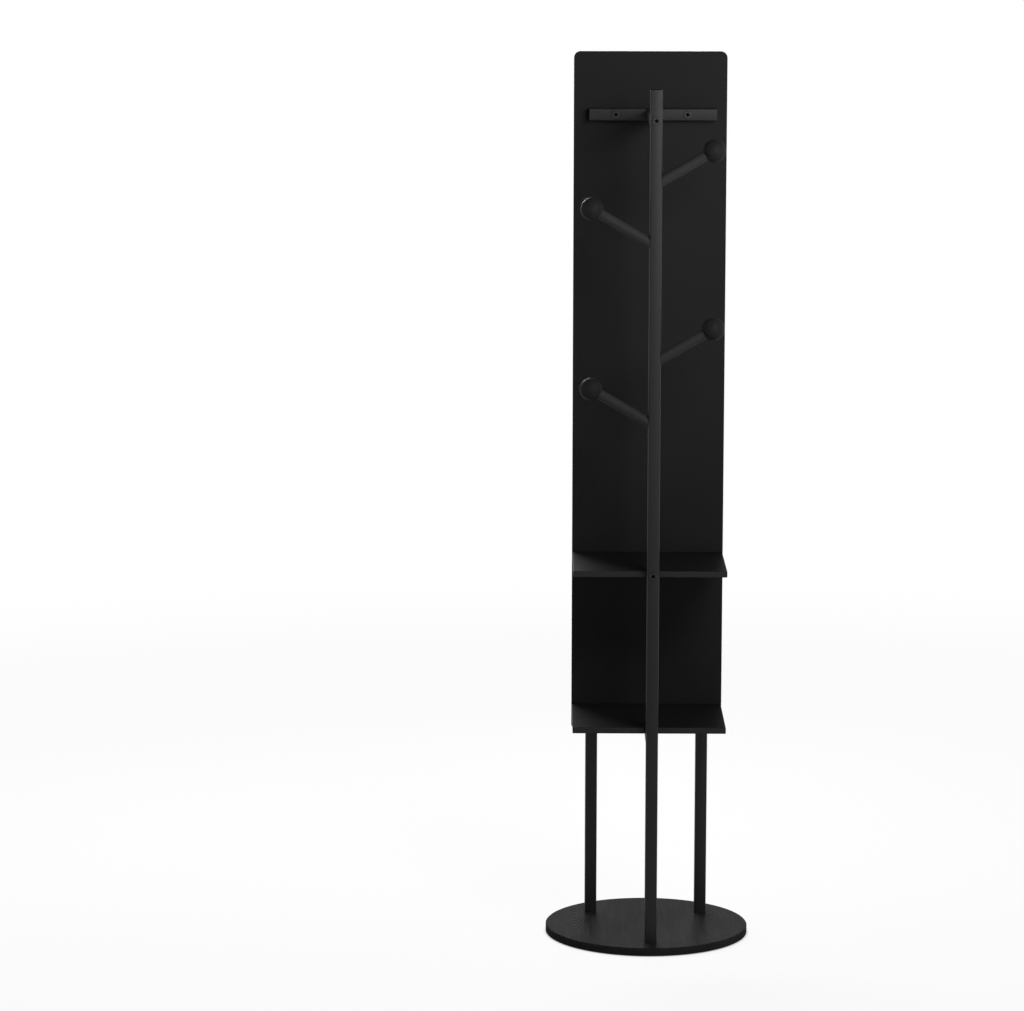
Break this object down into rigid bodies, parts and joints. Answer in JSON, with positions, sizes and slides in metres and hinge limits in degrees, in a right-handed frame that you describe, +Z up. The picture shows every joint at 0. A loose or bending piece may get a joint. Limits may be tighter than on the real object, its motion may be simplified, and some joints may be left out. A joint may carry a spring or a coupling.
{
  "type": "revolving hall stand with mirror and coat pegs",
  "caption": "Open hall stand that revolves on a round base, with a full-length mirror on one side and two shelves and ball-ended coat pegs on the other.",
  "frame": {"origin": "on the floor, on the axis that the stand turns about, under the centre of the round base", "axes": "+Z up, the mirror faces +Y, the coat side with shelves and pegs faces -Y, +X is right as seen from the coat side"},
  "size_m": [0.3999, 0.4, 1.7388],
  "materials": {
    "stained_ash": "ash veneer stained black, open grain, satin lacquer",
    "black_lacquered_wood": "solid wood under satin black lacquer, fine grain just visible",
    "black_board": "fibreboard under matt black lacquer",
    "mirror_glass": "silvered float glass",
    "black_steel": "black oxide, semi-matt",
    "zinc_steel": "bright zinc plate",
    "bearing_steel": "polished steel",
    "cage_plastic": "natural nylon",
    "pad_rubber": "soft black rubber, matt"
  },
  "bodies": {
    "foot": {"bearing_pivot": "zinc_steel", "floor_pads": "pad_rubber", "floor_plate": "zinc_steel"},
    "cage": {"roller_cage": "cage_plastic", "rollers": "bearing_steel"},
    "stand": {"base_bolts": "zinc_steel", "base_disc": "stained_ash", "bearing_top_plate": "zinc_steel", "coat_post": "black_lacquered_wood", "crossbar": "black_lacquered_wood", "crossbar_bolts": "black_steel", "lower_cross_rail": "black_lacquered_wood", "lower_mirror": "mirror_glass", "lower_panel": "black_board", "lower_rail": "black_lacquered_wood", "lower_shelf": "black_lacquered_wood", "post_bolts": "black_steel", "shelf_bracket_left": "black_steel", "shelf_bracket_right": "black_steel", "short_post_left": "black_lacquered_wood", "short_post_right": "black_lacquered_wood", "top_rail": "black_lacquered_wood", "upper_mirror": "mirror_glass", "upper_panel": "black_board", "upper_shelf": "black_lacquered_wood"}
  },
  "joints": [
    {"name": "stand_turn", "type": "hinge", "parent": "foot", "child": "stand", "pos_m": [0, 0, 0.00605], "axis": [0, 0, 1], "continuous": true},
    {"name": "cage_turn", "type": "hinge", "parent": "foot", "child": "cage", "pos_m": [0, 0, 0.00605], "axis": [0, 0, 1], "continuous": true}
  ],
  "couplings": [
    {"joint": "cage_turn", "follows": "stand_turn", "ratio": 0.5}
  ]
}
